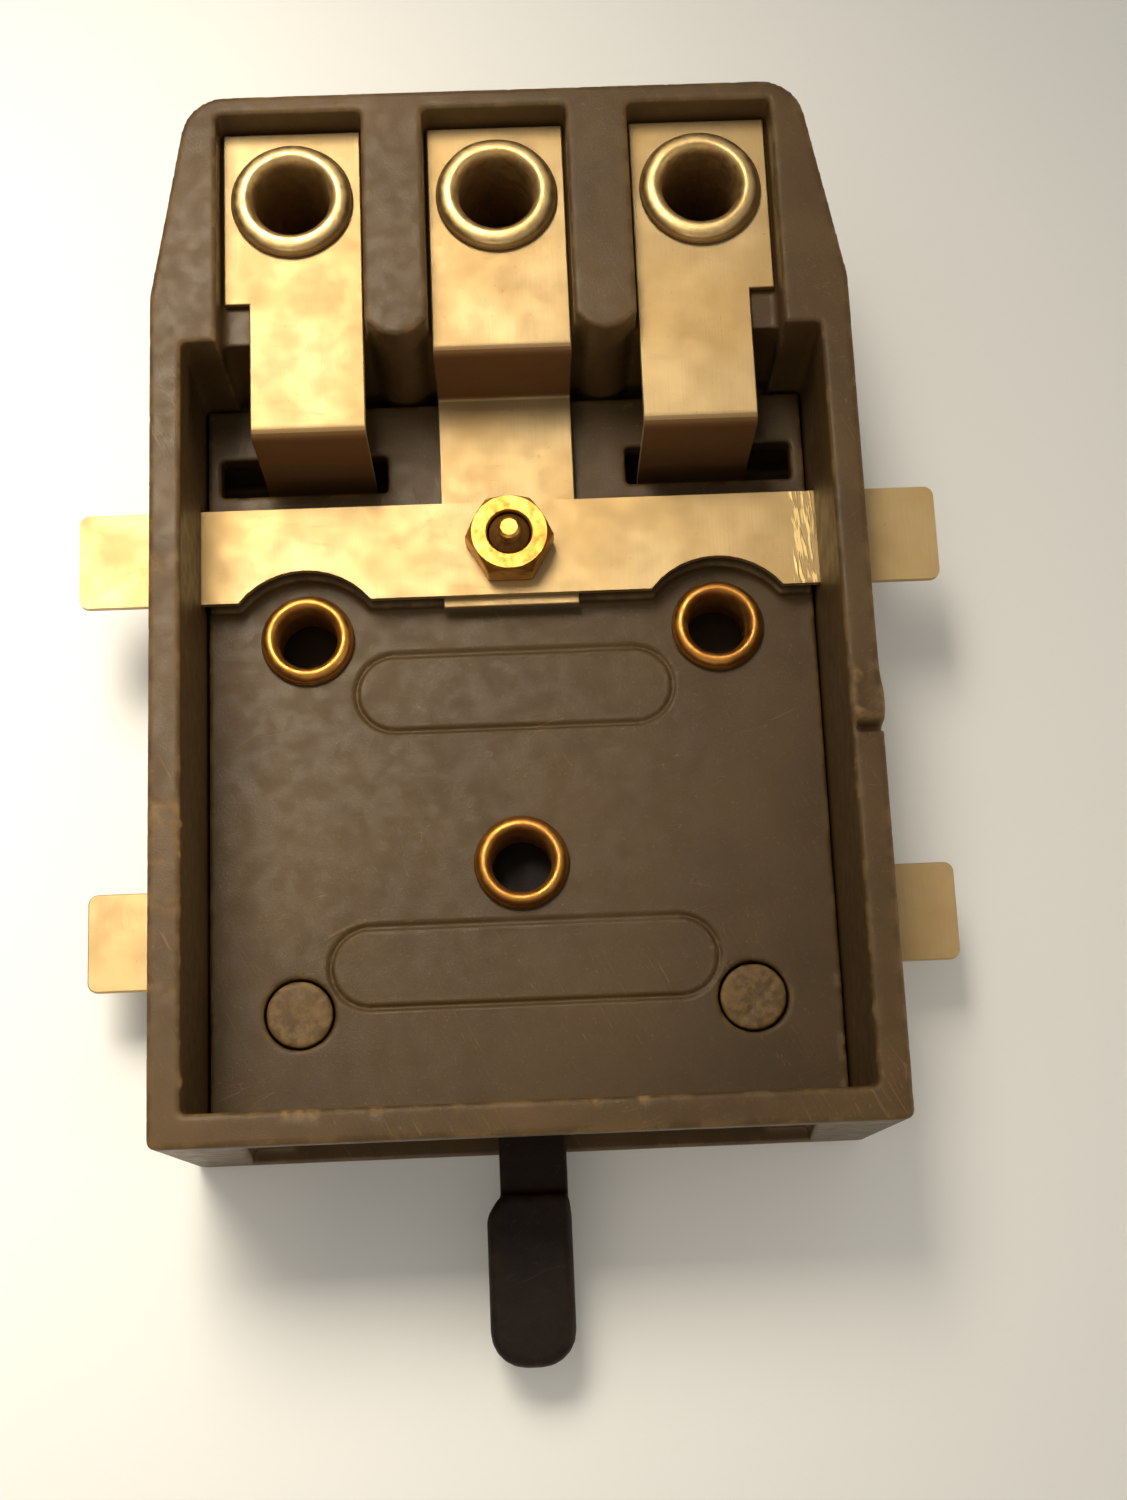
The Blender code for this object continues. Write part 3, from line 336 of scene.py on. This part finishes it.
def turned_metal(name, pale, deep, stain_and_shade, gloss, shank=None):
    """Turned or drawn brass: rings of tool marks, tarnish patches, painted shade in the roots and
    down the bore, and a painted highlight on the crest.

    A shank is the (centre, radius) of the lit tip, outside which the metal is painted dark as
    shade.
    """
    finish = Finish(name, metallic=1.0)
    clouds = finish.ramp(finish.grain(1.4 * MM, 5.0, seed=5), 0.36, 0.64)
    colour = finish.mix(clouds, pale, deep)
    tarnish = finish.ramp(finish.grain(0.6 * MM, 5.0, seed=14), 0.52, 0.7)
    colour = finish.mix(finish.math("MULTIPLY", tarnish, 0.5), colour, stain_and_shade)
    # Painted highlight: the crest of a rolled mouth is mixed towards the pale colour.
    crest = finish.attribute("edge")
    colour = finish.mix(finish.math("MULTIPLY", crest, 0.55), colour, pale)
    # Painted shade: the darkest colour is mixed in at the flange's foot and down the bore, or
    # outside a stud's tip, with more roughness.
    root_shade = finish.attribute("root_shade")
    if shank:
        centre, radius = shank
        off = finish.vector_math("SUBTRACT", finish.place, centre).outputs[0]
        flat = finish.vector_math("MULTIPLY", off, (1, 1, 0)).outputs[0]
        away = finish.vector_math("LENGTH", flat).outputs["Value"]
        root_shade = finish.ramp(away, radius * 0.96, radius * 1.04)
    colour = finish.mix(finish.math("MULTIPLY", root_shade, 0.8), colour, stain_and_shade)
    finish.set("Base Color", colour)
    rough = finish.ramp(finish.grain(0.5 * MM, 4.0, seed=19), 0.3, 0.7, gloss, gloss + 0.18)
    finish.set("Roughness", finish.math("ADD", rough, finish.math("MULTIPLY", root_shade, 0.3)))
    rings = finish.grain(0.09 * MM, 1.0, (60, 60, 1), 0, 23)
    finish.bump(rings, 0.008 * MM, 0.6)
    finish.bump(finish.grain(0.25 * MM, 3.0, seed=29), 0.02 * MM, 0.5)
    return finish.material


def pale_floor_finish():
    finish = Finish("pale_floor", Roughness=0.75)
    tint = finish.grain(40 * MM, 2.0)
    finish.set("Base Color", finish.mix(tint, (0.88, 0.90, 0.92, 1), (0.91, 0.93, 0.95, 1)))
    finish.bump(finish.grain(0.8 * MM, 2.0), 0.01 * MM, 0.3)
    return finish.material


# ---------------------------------------------------------------- mesh tools


def new_object(name, mesh, finish):
    obj = bpy.data.objects.new(name, mesh)
    bpy.context.scene.collection.objects.link(obj)
    mesh.materials.clear()
    mesh.materials.append(finish)
    return obj


def stands_for(piece, node, body):
    """The piece is shown in place of a CAD node and moves with its body."""
    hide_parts(node)
    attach(piece, body)
    return piece


def welded_copy(node):
    """The node's shape as a bmesh, with no split vertices and one face to each flat."""
    bm = bmesh.new()
    bm.from_mesh(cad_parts[node].data)
    bmesh.ops.remove_doubles(bm, verts=bm.verts, dist=WELD)
    bmesh.ops.dissolve_limit(bm, angle_limit=math.radians(1), verts=bm.verts, edges=bm.edges)
    return bm


def apply_modifiers(obj):
    graph = bpy.context.evaluated_depsgraph_get()
    mesh = bpy.data.meshes.new_from_object(obj.evaluated_get(graph))
    obj.modifiers.clear()
    obj.data = mesh


def points_of(mesh):
    points = np.empty(len(mesh.vertices) * 3, np.float32)
    mesh.vertices.foreach_get("co", points)
    return points.reshape(-1, 3).astype(float)


def normals_of(mesh):
    normals = np.empty(len(mesh.vertices) * 3, np.float32)
    mesh.vertices.foreach_get("normal", normals)
    return normals.reshape(-1, 3).astype(float)


def move_points(mesh, points):
    mesh.vertices.foreach_set("co", points.astype(np.float32).ravel())
    mesh.update()


def store(mesh, name, values):
    attribute = mesh.attributes.new(name, "FLOAT", "POINT")
    attribute.data.foreach_set("value", np.clip(values, 0, 1).astype(np.float32))


def neighbour_mean(mesh, values):
    ends = np.empty(len(mesh.edges) * 2, np.int32)
    mesh.edges.foreach_get("vertices", ends)
    ends = ends.reshape(-1, 2)
    count = len(mesh.vertices)
    degree = np.maximum(np.bincount(ends.ravel(), minlength=count), 1)
    columns = []
    for column in values.reshape(count, -1).T:
        total = np.bincount(ends[:, 0], column[ends[:, 1]], count)
        columns.append((total + np.bincount(ends[:, 1], column[ends[:, 0]], count)) / degree)
    return np.stack(columns, 1).reshape(values.shape)


def edge_share(mesh, spacing, spread):
    """From 0 on a flat or in a hollow to 1 along an outer edge."""
    points = points_of(mesh)
    proud = ((points - neighbour_mean(mesh, points)) * normals_of(mesh)).sum(1) / spacing
    share = np.clip(proud * 6, 0, 1)
    for _ in range(spread):
        share = np.maximum(share, neighbour_mean(mesh, share))
    return share


def field(points, size, seed):
    """Smooth noise from -1 to 1 at each point, with features about one size across."""
    shift = Vector((seed * 7.3, seed * 3.1, seed * 5.7))
    return np.array([noise.noise(Vector(p) / size + shift) for p in points])


# ---------------------------------------------------------------- moulded pieces


def moulded(name, node, voxel, finish, extra=None):
    """A CAD solid as a moulding: edges softened, rubbed and nicked, and faces slightly wavy."""
    piece = new_object(name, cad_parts[node].data.copy(), finish)
    weld = piece.modifiers.new("weld", "WELD")
    weld.merge_threshold = WELD
    skin = piece.modifiers.new("skin", "REMESH")
    skin.mode = "VOXEL"
    skin.voxel_size = voxel
    skin.use_smooth_shade = True
    ease = piece.modifiers.new("ease", "SMOOTH")
    ease.factor = 0.5
    ease.iterations = 1
    apply_modifiers(piece)

    mesh = piece.data
    points, normals = points_of(mesh), normals_of(mesh)
    edge = edge_share(mesh, voxel, 2)
    worn = np.clip(field(points, 1.4 * MM, 1) * 1.6, 0, 1) * 0.4
    worn += np.clip(field(points, 0.5 * MM, 2) * 2.4 - 0.7, 0, 1)
    sink = edge * worn * EDGE_WEAR + field(points, 4 * MM, 3) * SURFACE_WAVE
    points = points - normals * sink[:, None]
    matt = np.zeros(len(points))
    if extra:
        points, edge, matt = extra(points, edge, matt)
    move_points(mesh, points)
    store(mesh, "edge", edge)
    store(mesh, "matt", matt)

    mesh.calc_loop_triangles()
    triangles = len(mesh.loop_triangles)
    if triangles > MOST_TRIANGLES:
        thin = piece.modifiers.new("thin", "DECIMATE")
        thin.ratio = MOST_TRIANGLES / triangles
        apply_modifiers(piece)
    piece.data.shade_smooth()
    return piece


def within(values, low, high, soft):
    """From 0 outside low..high to 1 inside, easing over the soft distance at both ends."""
    rise = np.clip((values - low) / soft + 0.5, 0, 1)
    fall = np.clip((high - values) / soft + 0.5, 0, 1)
    return np.minimum(rise, fall)


def case_details(points, edge, matt):
    """Wear of the case: a burr and a notch on the right rim, rubbed rims, flash and rough pegs."""
    x, y, z = points.T / MM
    rim = within(z, RIM_TOP - 0.35, RIM_TOP + 1, 0.2)
    lip = within(z, RIM_TOP - 1.6, RIM_TOP + 1, 0.6)
    rough = field(points, 0.35 * MM, 11)
    lumps = field(points, 0.8 * MM, 12)
    ragged = field(points, 0.6 * MM, 13) + 0.6 * rough
    moved = points.copy()

    burr = within(x, *BURR_X, 0.5) * within(y, *BURR_Y, 0.8)
    moved[:, 2] += rim * burr * (BURR_HEIGHT + BURR_LUMPS * lumps) * MM
    matt = np.maximum(matt, rim * burr * np.clip(lumps * 2.2, 0, 0.8))
    swell = within(y, *SWELL_Y, 1.4) * within(x, *SWELL_X, 0.5) * lip
    moved[:, 0] += swell * SWELL_PROUD * MM
    notch = within(x, *NOTCH_X, 0.25) * within(y, *NOTCH_Y, 0.2)
    moved[:, 2] -= lip * notch * NOTCH_DEPTH * MM

    for span, strength in RUBBED_PATCHES:
        patch = within(y, *span, 0.9) * within(x, *RUBBED_X, 0.4) * rim
        matt = np.maximum(matt, patch * strength * np.clip(0.5 + lumps, 0, 1))
        moved[:, 2] -= patch * np.clip(lumps, 0, 1) * RUB_DEPTH * MM
    for side, span in ((-1, LEFT_FLASH_Y), (1, RIGHT_FLASH_Y)):
        inner = within(side * x, RIM_INSIDE - 0.25, RIM_INSIDE + 0.3, 0.25) * lip
        inner *= within(y, *span, 1.0)
        moved[:, 0] -= side * inner * np.clip(ragged - 0.1, 0, 1) * RIM_FLASH * MM
        matt = np.maximum(matt, inner * rim * np.clip(ragged * 1.5 - 0.5, 0, 0.7))

    front = within(y, *FRONT_RIM_Y, 0.25) * rim
    for place, width in NICKS:
        nick = front * within(x, place - width / 2, place + width / 2, 0.2)
        moved[:, 2] -= nick * NICK_DEPTH * MM
        matt = np.maximum(matt, nick)
    for side in (-1, 1):
        across, along = x - side * PEG_X, y - PEG_Y
        peg = within(np.hypot(across, along), -1, PEG_RADIUS, 0.1)
        peg *= within(z, PLATE_TOP - 0.4, PLATE_TOP + 0.4, 0.1)
        matt = np.maximum(matt, peg * np.clip(0.65 + 0.35 * rough, 0, 1))
        moved[:, 2] += peg * rough * PEG_ROUGHNESS * MM
        scored = within(across - along * 0.9, 0.35, 0.6, 0.15)
        moved[:, 2] -= peg * scored * SCORE_DEPTH * MM
    return moved, edge, matt


def from_stadium(x, y, centre_y, length):
    """How far each point is from the middle of a stadium-shaped groove, in millimetres."""
    reach = (length - OUTLINE_HEIGHT) / 2
    radius = (OUTLINE_HEIGHT - GROOVE_WIDTH) / 2
    beyond = np.maximum(np.abs(x) - reach, 0)
    return np.abs(np.hypot(beyond, y - centre_y) - radius)


def plate_details(points, edge, matt):
    """Grooves that wear away to the right, and flash with pale flecks on the front and right."""
    x, y, z = points.T / MM
    top = within(z, PLATE_TOP - 0.4, PLATE_TOP + 0.3, 0.1)
    ragged = field(points, 0.7 * MM, 14) + 0.5 * field(points, 0.3 * MM, 15)
    worn_out = np.clip(0.95 - 0.3 * x / 12 + 0.5 * field(points, 3 * MM, 16), 0.35, 1)
    moved = points.copy()
    for centre_y, length in OUTLINES:
        away = from_stadium(x, y, centre_y, length)
        near = top * (away < RECUT_REACH)
        depth = GROOVE_DEPTH * worn_out * (1 - within(away, 0.13, 9, 0.16))
        ridge = RIDGE_HEIGHT * within(away, 0.2, 0.38, 0.1) * np.clip(ragged, 0, 1)
        moved[:, 2] = np.where(near, (PLATE_TOP - depth + ridge) * MM, moved[:, 2])
        edge = edge * (1 - near)

    low, high = points.min(0) / MM, points.max(0) / MM
    front = within(y, low[1] - 1, low[1] + 0.4, 0.3)
    right = within(x, high[0] - 0.35, high[0] + 1, 0.3)
    right *= within(y, low[1], RIGHT_FLASH_TO, 2.0)
    flash = np.maximum(front, right) * top
    moved[:, 2] += flash * np.clip(ragged + 0.1, 0, 1) * FLASH_HEIGHT * MM
    matt = np.maximum(matt, flash * np.clip(ragged * 1.6 - 0.3, 0, 0.9))
    return moved, edge, matt


def make_case(finish):
    piece = moulded("case_moulding", "case", CASE_VOXEL, finish, case_details)
    return stands_for(piece, "case", "housing")


def make_plate(finish):
    piece = moulded("plate_moulding", "base_plate", PLATE_VOXEL, finish, plate_details)
    return stands_for(piece, "base_plate", "housing")


def make_lever(finish):
    piece = moulded("lever_moulding", "lever", LEVER_VOXEL, finish)
    return stands_for(piece, "lever", "lever_arm")


# ---------------------------------------------------------------- brass pieces


def fold_shade_share(face):
    """How far a strip's face is turned down at its folds, where the brass is rougher and painted
    dark as shade.
    """
    if face.calc_center_median().y < FOLD_SHADE_BEHIND:
        return 0.0
    return min(1.0, max(0.0, (-face.normal.y - 0.25) / 0.5))


def make_sheet(node, finish):
    """A sheet-metal node with its cut edges rounded over."""
    bm = welded_copy(node)
    inner = [edge for edge in bm.edges if len(edge.link_faces) == 2]
    sharp = [edge for edge in inner if edge.calc_face_angle(0) > SHARP_FOLD]
    rounding = {"offset": SHEET_EDGE, "segments": 2, "profile": 0.5, "clamp_overlap": True}
    bmesh.ops.bevel(bm, geom=sharp, affect="EDGES", **rounding)
    bm.normal_update()
    fold_shades = [fold_shade_share(face) if node.endswith("strip") else 0.0 for face in bm.faces]
    mesh = bpy.data.meshes.new(node + "_sheet")
    bm.to_mesh(mesh)
    bm.free()
    mesh.attributes.new("fold_shade", "FLOAT", "FACE").data.foreach_set("value", fold_shades)
    mesh.shade_smooth()
    piece = new_object(node + "_sheet", mesh, finish)
    piece.modifiers.new("flat_faces", "WEIGHTED_NORMAL").keep_sharp = True
    return stands_for(piece, node, "housing")


def mesh_of_rings(name, bm, rings):
    """A smooth mesh of rings, each joined to the next and the last to the first."""
    for ring, after in zip(rings, rings[1:] + rings[:1]):
        for k in range(ROUND_STEPS):
            ahead = (k + 1) % ROUND_STEPS
            bm.faces.new((ring[k], ring[ahead], after[ahead], after[k]))
    bmesh.ops.recalc_face_normals(bm, faces=bm.faces)
    mesh = bpy.data.meshes.new(name)
    bm.to_mesh(mesh)
    bm.free()
    mesh.shade_smooth()
    return mesh


def lathe(name, profile, centre, finish):
    """A closed (radius, z, shade, highlight) profile turned a little unevenly, with two stored
    masks for painted shade and painted highlight.
    """
    bm = bmesh.new()
    rings = []
    for radius, z, _, _ in profile:
        ring = []
        for k in range(ROUND_STEPS):
            angle = 2 * math.pi * k / ROUND_STEPS
            spot = Vector((math.cos(angle), math.sin(angle), z / MM)) * 1.7 + centre / MM
            off = MOUTH_WOBBLE * noise.noise(spot)
            across = Vector((math.cos(angle), math.sin(angle), 0)) * (radius + off)
            ring.append(bm.verts.new(centre + across + Vector((0, 0, z + off / 2))))
        rings.append(ring)
    mesh = mesh_of_rings(name, bm, rings)
    store(mesh, "root_shade", np.repeat([root_shade for _, _, root_shade, _ in profile], ROUND_STEPS))
    store(mesh, "edge", np.repeat([edge for _, _, _, edge in profile], ROUND_STEPS))
    return new_object(name, mesh, finish)


def rolled_mouth(bore, wall, flange, lip):
    """From the flange's foot, round its rim, over the crest and down into the bore."""
    tube = bore + wall
    foot = lip * 0.18
    rim = [(flange - foot, foot), (flange, foot * 1.6), (flange - foot * 0.6, foot * 2.8)]
    # Beside radius and height, each point carries a painted shade share and a painted highlight
    # share: shade at the flange's foot and down the bore, highlight over the crest.
    profile = [(r, z, 1.0, 0.0) for r, z in [(tube, foot), *rim]]
    crest = tube + (flange - tube) * 0.12
    for step in range(11):
        turn = math.radians(90 * step / 10)
        r = crest + (flange - foot * 0.9 - crest) * math.cos(turn)
        z = foot * 3 + (lip - foot * 3) * math.sin(turn)
        profile.append((r, z, max(0.0, 0.8 - step / 5), min(1.0, step / 6)))
    for step in range(1, 11):
        turn = math.radians(90 * step / 10)
        r = bore + (crest - bore) * (1 - math.sin(turn))
        z = lip * 0.1 + lip * 0.9 * math.cos(turn)
        profile.append((r, z, step / 12, max(0.0, 1 - step / 5)))
    return profile


def seat_of(node):
    """The middle of a flange's seat, how far the tube reaches below it, and the flange's radius."""
    low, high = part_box(node)
    centre = (low + high) / 2
    seat = high.z - ROLL_ABOVE_SEAT
    return Vector((centre.x, centre.y, seat)), seat - low.z, (high.x - low.x) / 2


def make_socket(node, finish):
    place, depth, flange = seat_of(node)
    profile = [(SOCKET_BORE + SOCKET_WALL, -depth, 1.0, 0.0)]
    profile += rolled_mouth(SOCKET_BORE, SOCKET_WALL, flange, ROLL_ABOVE_SEAT)
    profile += [(SOCKET_BORE, -depth / 3, 1.0, 0.0), (SOCKET_BORE, -depth, 1.0, 0.0)]
    piece = lathe(node + "_rolled", profile, place, finish)
    return stands_for(piece, node, "housing")


def make_rivet(node, finish):
    place, depth, flange = seat_of(node)
    clinched = [
        (RIVET_BORE, -depth),
        (CLINCH_RADIUS - CLINCH_HEIGHT / 2, -depth),
        (CLINCH_RADIUS, -depth + CLINCH_HEIGHT / 2),
        (CLINCH_RADIUS, -depth + CLINCH_HEIGHT),
        (RIVET_BORE + RIVET_WALL, -depth + CLINCH_HEIGHT),
    ]
    profile = [(radius, z, 1.0, 0.0) for radius, z in clinched]
    profile += rolled_mouth(RIVET_BORE, RIVET_WALL, flange, ROLL_ABOVE_SEAT)
    piece = lathe(node + "_rolled", profile, place, finish)
    return stands_for(piece, node, "housing")


def make_nut(finish):
    """A hexagon whose top corners are turned off to a cone, with a bore broken at its mouth."""
    low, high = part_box("hex_nut")
    centre = (low + high) / 2
    corner = (high.x - low.x) / 2
    flat = corner * math.cos(math.pi / 6)
    height = high.z - low.z
    bm = bmesh.new()
    rings = []
    for share in NUT_RISE:
        turned = max(0.0, share - NUT_CHAMFER_FROM) / (1 - NUT_CHAMFER_FROM) * NUT_CHAMFER
        limit = corner - (turned if share else NUT_EDGE)
        rings.append(hexagon_ring(bm, centre, low.z + height * share, flat, limit))
    inside = (
        (flat - NUT_FACE_INSET, height),
        (NUT_BORE + NUT_EDGE, height),
        (NUT_BORE, height - NUT_EDGE),
        (NUT_BORE, 0),
    )
    for radius, z in inside:
        rings.append(hexagon_ring(bm, centre, low.z + z, radius, radius))
    mesh = mesh_of_rings("nut_turned", bm, rings)
    mesh.set_sharp_from_angle(angle=NUT_SHARP)
    piece = new_object("nut_turned", mesh, finish)
    return stands_for(piece, "hex_nut", "housing")


def hexagon_ring(bm, centre, z, flat, limit):
    """A hexagon with slightly rounded corners, cut back to a circle where that is smaller."""
    ring = []
    for k in range(ROUND_STEPS):
        angle = 2 * math.pi * k / ROUND_STEPS
        from_flat = (angle % (math.pi / 3)) - math.pi / 6
        radius = min(flat / math.cos(from_flat), limit)
        x, y = centre.x + radius * math.cos(angle), centre.y + radius * math.sin(angle)
        ring.append(bm.verts.new((x, y, z)))
    return ring


# ---------------------------------------------------------------- scene


def make_floor(finish):
    bm = bmesh.new()
    bmesh.ops.create_grid(bm, x_segments=8, y_segments=8, size=FLOOR_REACH)
    mesh = bpy.data.meshes.new("floor")
    bm.to_mesh(mesh)
    bm.free()
    floor = new_object("floor", mesh, finish)
    floor.location.z = cad_box[0].z


def area_light(name, place, aim, size, power, spread):
    lamp = bpy.data.lights.new(name, "AREA")
    lamp.shape = "RECTANGLE"
    lamp.size, lamp.size_y = size
    lamp.energy = power
    lamp.color = WARM_LIGHT
    lamp.spread = math.radians(spread)
    obj = bpy.data.objects.new(name, lamp)
    obj.location = place
    obj.rotation_euler = (Vector(aim) - Vector(place)).to_track_quat("-Z", "Y").to_euler()
    bpy.context.scene.collection.objects.link(obj)


def make_lights():
    for light in LIGHTS:
        area_light(*light)
    world = bpy.data.worlds.new("studio")
    world.use_nodes = True
    background = world.node_tree.nodes["Background"]
    background.inputs["Color"].default_value = SURROUND_COLOUR
    background.inputs["Strength"].default_value = SURROUND_STRENGTH
    bpy.context.scene.world = world
    bpy.context.scene.view_settings.view_transform = "Standard"


def make_camera():
    lens = bpy.data.cameras.new("camera")
    lens.sensor_fit = "VERTICAL"
    lens.sensor_height = SENSOR_HEIGHT
    lens.lens = LENS_TO_FRAME_HEIGHT * SENSOR_HEIGHT
    lens.clip_start = 5 * MM
    camera = bpy.data.objects.new("camera", lens)
    turn = Matrix.Rotation(math.radians(CAMERA_LEAN), 3, "Y")
    turn = turn @ Matrix.Rotation(math.radians(CAMERA_TILT), 3, "X")
    turn = turn @ Matrix.Rotation(math.radians(-CAMERA_ROLL), 3, "Z")
    back = turn @ Vector((CAMERA_OFFSET.x, CAMERA_OFFSET.y, CAMERA_DISTANCE))
    camera.matrix_world = Matrix.Translation(CAMERA_AIM + back) @ turn.to_4x4()
    bpy.context.scene.collection.objects.link(camera)
    bpy.context.scene.camera = camera


def plastic(name, dark, light, worn, *finish):
    return moulded_plastic(name, rgb(*dark), rgb(*light), rgb(*worn), *finish)


def metal(make, name, pale, deep, stain_and_shade, *finish):
    return make(name, rgb(*pale), rgb(*deep), rgb(*stain_and_shade), *finish)


def main():
    case = plastic("case_plastic", (74, 54, 28), (87, 65, 35), (146, 118, 78), 0.014 * MM, 0.4)
    plate = plastic("plate_plastic", (72, 54, 29), (83, 63, 35), (150, 122, 80), 0.016 * MM, 0.42)
    black = (16, 9, 5), (30, 19, 11), (80, 60, 40)
    lever = plastic("lever_plastic", *black, 0.018 * MM, 0.46, 0.16)

    # Each metal set is a pale, a deep and a darkest colour; the darkest is used for stains and also
    # as painted shade.
    strip_brass = (190, 168, 128), (180, 153, 108), (128, 88, 52)
    # The bus bar's end just inside the right wall carries file marks painted near-white as a glint.
    bar_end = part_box("upper_bus_bar")[1].x - TAB_BEYOND_WALL
    file_marks_and_glint = (bar_end - FILED_LENGTH, bar_end)
    sheet = metal(sheet_metal, "sheet_brass", *strip_brass, 0.52)
    filed = metal(sheet_metal, "filed_brass", *strip_brass, 0.5, file_marks_and_glint)
    grey = (190, 186, 178), (160, 156, 150), (90, 80, 70)
    steel = metal(sheet_metal, "spring_steel", *grey, 0.3)

    # On turned brass the darkest colour is also painted shade at the flange's foot and down the
    # bore, and the pale colour a painted highlight on the crest.
    mouth = (222, 194, 140), (202, 168, 112), (160, 126, 76)
    copper = (206, 150, 76), (168, 112, 52), (138, 90, 42)
    yellow = (216, 164, 84), (196, 142, 66), (96, 58, 26)
    dull = (220, 170, 92), (200, 148, 74), (70, 40, 18)
    # The stud is painted dark as shade outside its tip's radius, on the cone that sinks into the
    # nut.
    pivot_low, pivot_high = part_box("pivot_screw")
    tip = (tuple((pivot_low + pivot_high) / 2), STUD_TIP_RADIUS)
    socket = metal(turned_metal, "socket_brass", *mouth, 0.34)
    rivet = metal(turned_metal, "rivet_brass", *copper, 0.36)
    nut = metal(turned_metal, "nut_brass", *yellow, 0.34)
    stud = metal(turned_metal, "stud_brass", *dull, 0.34, tip)

    make_case(case)
    make_plate(plate)
    make_lever(lever)
    for place in ("left", "centre", "right"):
        make_sheet(place + "_terminal_strip", sheet)
        make_socket(place + "_terminal_socket", socket)
    make_sheet("upper_bus_bar", filed)
    make_sheet("lower_bus_bar", sheet)
    for node in ("left_contact_rivet", "right_contact_rivet", "bus_rivet"):
        make_rivet(node, rivet)
    make_nut(nut)
    kept = {
        "pivot_screw": stud,
        "plain_washer": nut,
        "spring_washer": steel,
        "wiper_contact": sheet,
        "wiper_rivet": nut,
    }
    for node, finish in kept.items():
        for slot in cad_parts[node].material_slots:
            slot.material = finish

    make_floor(pale_floor_finish())
    make_lights()
    make_camera()


main()
